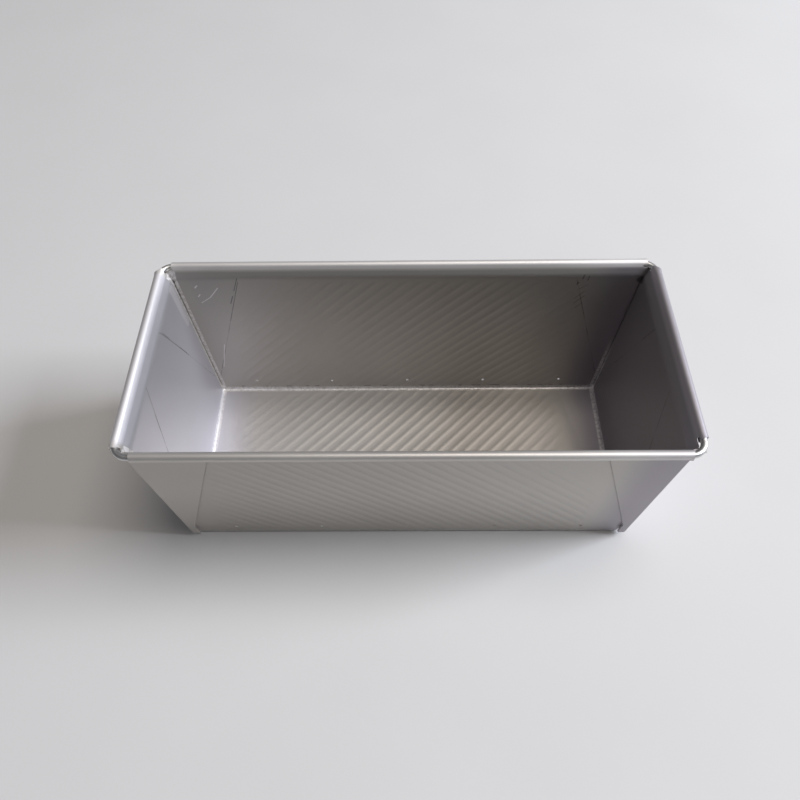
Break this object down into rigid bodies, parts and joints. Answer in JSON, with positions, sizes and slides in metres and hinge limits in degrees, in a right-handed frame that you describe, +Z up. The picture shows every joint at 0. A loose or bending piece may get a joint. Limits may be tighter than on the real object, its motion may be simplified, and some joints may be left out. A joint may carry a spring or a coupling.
{
  "type": "pullman loaf pan",
  "caption": "Rectangular loaf pan folded from fluted metal sheet, with pleated corners, vent holes near the floor and a hemmed rim curled over a loop of wire.",
  "frame": {"origin": "on the table, under the middle of the pan", "axes": "+X along the pan's length, +Y across it, +Z up out of its mouth"},
  "size_m": [0.2426, 0.109, 0.0975],
  "materials": {
    "sheet": "satin aluminised coating, with shallow diagonal flutes",
    "wire": "bright drawn steel"
  },
  "bodies": {
    "root": {"pan_sheet": "sheet", "rim_wire": "wire"}
  },
  "joints": []
}
